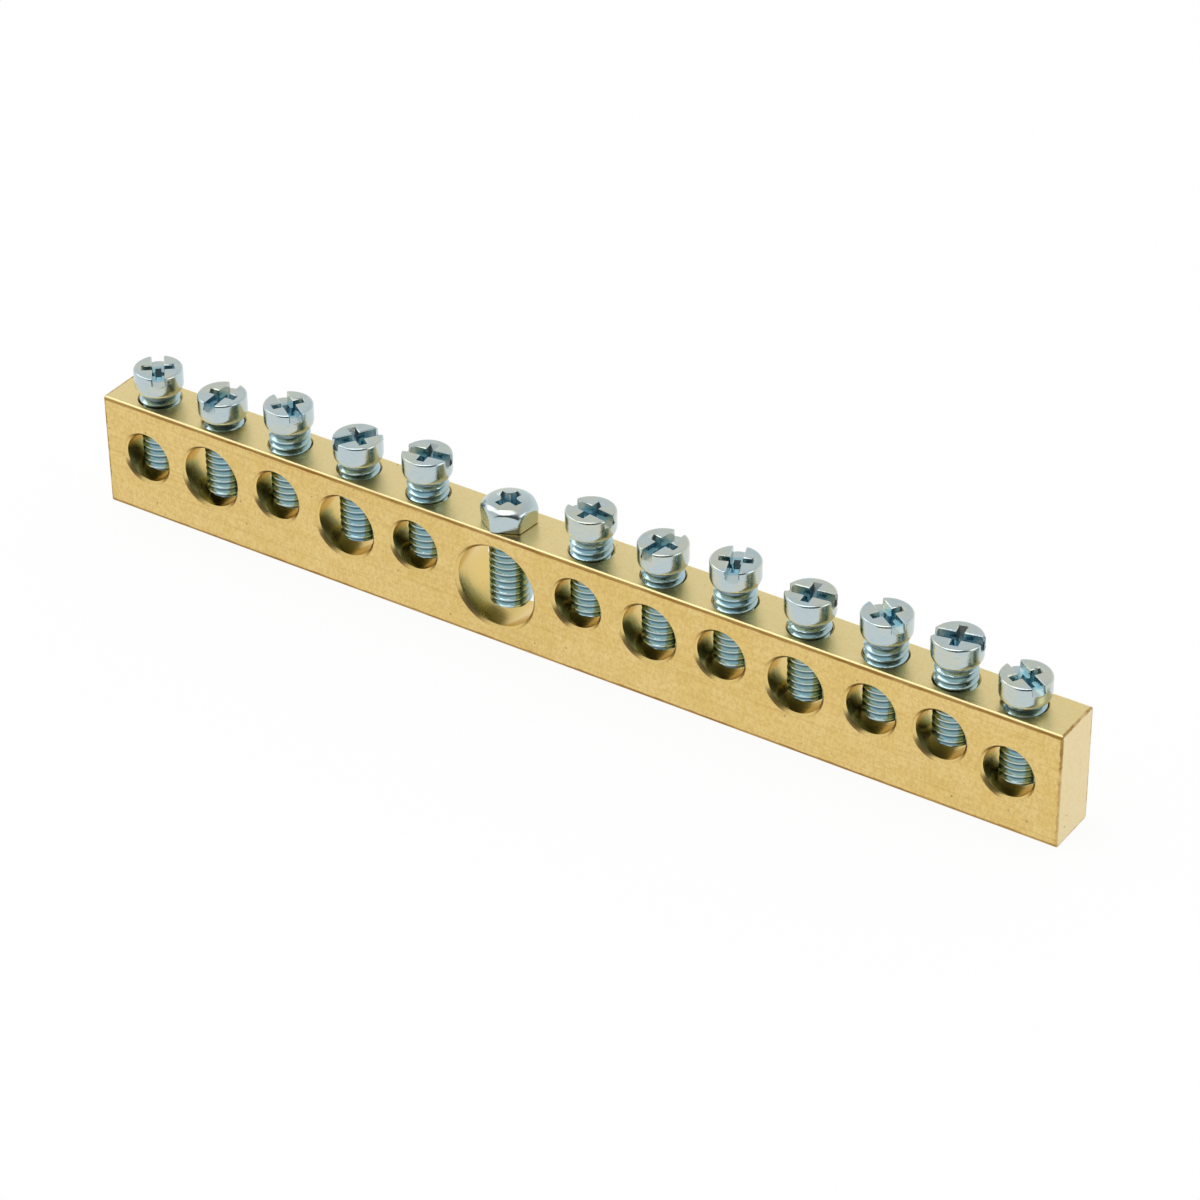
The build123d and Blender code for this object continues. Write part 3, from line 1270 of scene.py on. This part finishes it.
@dataclass(frozen=True)
class ZincPlate:
    """Bright zinc plating with a pale blue passivation that turns yellowish in places, with painted shade
    in its recesses and thread roots.
    """

    plain: Colour = (0.50, 0.585, 0.60)
    blue: Colour = (0.36, 0.53, 0.60)
    straw: Colour = (0.56, 0.59, 0.51)
    shank: Colour = (0.38, 0.64, 0.74)
    # Painted shade: the cross recess and the slot are darker and bluer.
    recess: Colour = (0.17, 0.44, 0.56)
    # Painted shade: the thread roots are darker.
    root: Colour = (0.20, 0.27, 0.29)
    spots: Colour = (0.36, 0.42, 0.43)

    def material(self, thread: Thread, head_height: float) -> Material:
        """Makes the material, which follows each screw's own place.

        Args:
            thread: The screws' thread.
            head_height: How high a slotted head is.

        Returns:
            The material.
        """
        made = Finish("blue_zinc_plate")
        place = made.wire("ShaderNodeAttribute", {"attribute_name": "own_place"}, output="Vector")
        spot = made.spot()
        x, y, z = made.split(place)
        reach = (x * x + y * y).root()

        on_shank = z.rises(0.0, -0.1)
        # Painted shade: the thread roots are painted darker, and made rougher.
        shaded_root = reach.rises(thread.neck_radius + 0.2, thread.neck_radius) * on_shank
        # Painted shade: the cross recess and the slot floor are painted darker and bluer, and a little
        # rougher.
        recess_shade = z.rises(head_height - 0.1, head_height - 0.9) * reach.rises(1.7, 1.3) * (1 - on_shank)

        tint = made.noise(spot, 0.35, 2.0, 0.5)
        speck = made.noise(spot, 3.2, 4.0, 0.65)
        wipes = made.noise(made.scaled(spot, (1.0, 1.0, 2.6)), 1.3, 5.0, 0.7)

        colour = made.blend(tint.rises(0.40, 0.62), self.plain, self.straw)
        colour = made.blend(wipes.rises(0.45, 0.75) * 0.6, colour, self.blue)
        colour = made.blend(on_shank * 0.45, colour, self.shank)
        # Painted shade in the cross recess and the slot.
        colour = made.blend(recess_shade * (0.3 + wipes * 0.6), colour, self.recess)
        # Painted shade in the thread roots.
        colour = made.blend(shaded_root * 0.8, colour, self.root)
        colour = made.blend(speck.rises(0.66, 0.8) * 0.35, colour, self.spots)

        roughness = 0.14 + (wipes - 0.5) * 0.12 + (speck - 0.5) * 0.12 + shaded_root * 0.2 + recess_shade * 0.06
        dents = made.bump(wipes, 0.03)
        grain = made.bump(speck, 0.012, dents)
        return made.surface(Base_Color=colour, Metallic=1.0, Roughness=roughness, Normal=grain)


@dataclass
class Studio:
    """The floor, the pale surroundings, the lamps and the camera."""

    azimuth: float = 33.748
    elevation: float = 33.956
    roll: float = -0.71
    camera_place: Point = (186.35, -274.17, 228.8)
    focal_pixels: float = 4320.8
    frame_pixels: float = 1200.0
    sensor: float = 36.0
    near: float = 0.01
    floor_reach: float = 3.0
    floor_shine: float = 0.93
    zenith_dimming: float = 0.25
    front_dimming: float = 0.88
    dark_side: Point = (0.50, -0.75, 0.43)

    def build(self) -> None:
        """Sets up everything around the object."""
        bpy.context.scene.view_settings.view_transform = "Standard"
        self.camera()
        self.floor()
        self.surroundings()
        self.lamp("key", (-0.1, -0.16, 0.86), 0.7, 1.4)
        self.lamp("left", (-0.62, -0.02, 0.62), 0.4, 1.3)
        self.lamp("right", (0.75, 0.1, 0.45), 0.4, 1.3)

    def camera(self) -> None:
        """Puts the camera at the photograph's place."""
        a, e, r = radians(self.azimuth), radians(self.elevation), radians(self.roll)
        back = Vector((sin(a) * cos(e), -cos(a) * cos(e), sin(e)))
        right = (-back).cross(Vector((0, 0, 1))).normalized()
        up = back.cross(right)
        turned_right = cos(r) * right + sin(r) * up
        turned_up = -sin(r) * right + cos(r) * up
        data = bpy.data.cameras.new("camera")
        data.sensor_width = self.sensor
        data.lens = self.focal_pixels / self.frame_pixels * self.sensor
        data.clip_start = self.near
        camera = bpy.data.objects.new("camera", data)
        bpy.context.scene.collection.objects.link(camera)
        matrix = Matrix((turned_right, turned_up, back)).transposed().to_4x4()
        matrix.translation = Vector(self.camera_place) * MILLIMETRE
        camera.matrix_world = matrix
        bpy.context.scene.camera = camera

    def seen(self, graph: Graph) -> Wire:
        """Tells what the camera sees straight, in a reflection or through glass.

        Args:
            graph: The tree that asks.

        Returns:
            1 there and 0 for all other rays.
        """
        outputs = graph.node("ShaderNodeLightPath").outputs
        names = ("Is Camera Ray", "Is Glossy Ray", "Is Transmission Ray")
        straight, mirrored, through = (Wire(graph, outputs[name]) for name in names)
        return straight.at_least(mirrored).at_least(through)

    def floor(self) -> None:
        """Lays the pale floor, which shines white by itself and still takes the object's shadow."""
        shape = bmesh.new()
        bmesh.ops.create_grid(shape, x_segments=1, y_segments=1, size=self.floor_reach)
        floor = new_object("floor", shape)
        paint = Finish("pale_floor")
        plain = paint.wire("ShaderNodeBsdfDiffuse", inputs={"Color": WHITE})
        shine = paint.wire("ShaderNodeEmission", inputs={"Color": WHITE, "Strength": 1.0})
        share = self.seen(paint) * self.floor_shine
        both = paint.wire("ShaderNodeMixShader", inputs={0: share, 1: plain, 2: shine})
        paint.node("ShaderNodeOutputMaterial", inputs={"Surface": both})
        floor.data.materials.append(paint.material)

    def surroundings(self) -> None:
        """Makes the world white to the camera, and as a light dimmer above and dark in front of the bar."""
        world = bpy.data.worlds.new("studio")
        world.use_nodes = True
        bpy.context.scene.world = world
        graph = Graph(world.node_tree)
        graph.tree.nodes.clear()
        camera_ray = graph.wire("ShaderNodeLightPath", output="Is Camera Ray")
        direction = graph.wire("ShaderNodeTexCoord", output="Generated")
        x, y, upward = graph.split(direction)
        ahead = x * self.dark_side[0] + y * self.dark_side[1] + upward * self.dark_side[2]
        from_above = 1.0 - upward.rises(0.1, 0.9) * self.zenith_dimming
        dimmed = from_above * (1 - ahead.rises(0.6, 0.85) * self.front_dimming)
        strength = camera_ray + (1 - camera_ray) * dimmed
        light = graph.wire("ShaderNodeBackground", inputs={"Color": WHITE, "Strength": strength})
        graph.node("ShaderNodeOutputWorld", inputs={"Surface": light})

    def lamp(self, name: str, place: Point, width: float, brightness: float) -> None:
        """Hangs a square soft lamp that faces the object.

        Args:
            name: The lamp's name.
            place: Where it hangs, in metres.
            width: How wide it is.
            brightness: How bright its face is, where white paper in full light is 1.
        """
        data = bpy.data.lights.new(name, "AREA")
        data.shape = "SQUARE"
        data.size = width
        data.energy = brightness * pi * width**2
        lamp = bpy.data.objects.new(name, data)
        lamp.location = place
        lamp.rotation_euler = (-Vector(place)).to_track_quat("-Z", "Y").to_euler()
        bpy.context.scene.collection.objects.link(lamp)


def main() -> None:
    """Builds the dressed bus bar and its studio."""
    logging.basicConfig(level=logging.INFO, format="%(message)s")
    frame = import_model()
    low, high = (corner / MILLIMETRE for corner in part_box("bar"))
    brass = Brass().material(high.x, high.y, high.z)
    zinc = ZincPlate().material(Thread(), SlottedHead().height)
    pieces = [Bar().build(frame["record"], brass)]
    pieces += ScrewRow().build(zinc)
    for piece in pieces:
        piece.data.calc_loop_triangles()
        log.info("%s: %d triangles", piece.name, len(piece.data.loop_triangles))
    Studio().build()


if __name__ == "__main__":
    main()
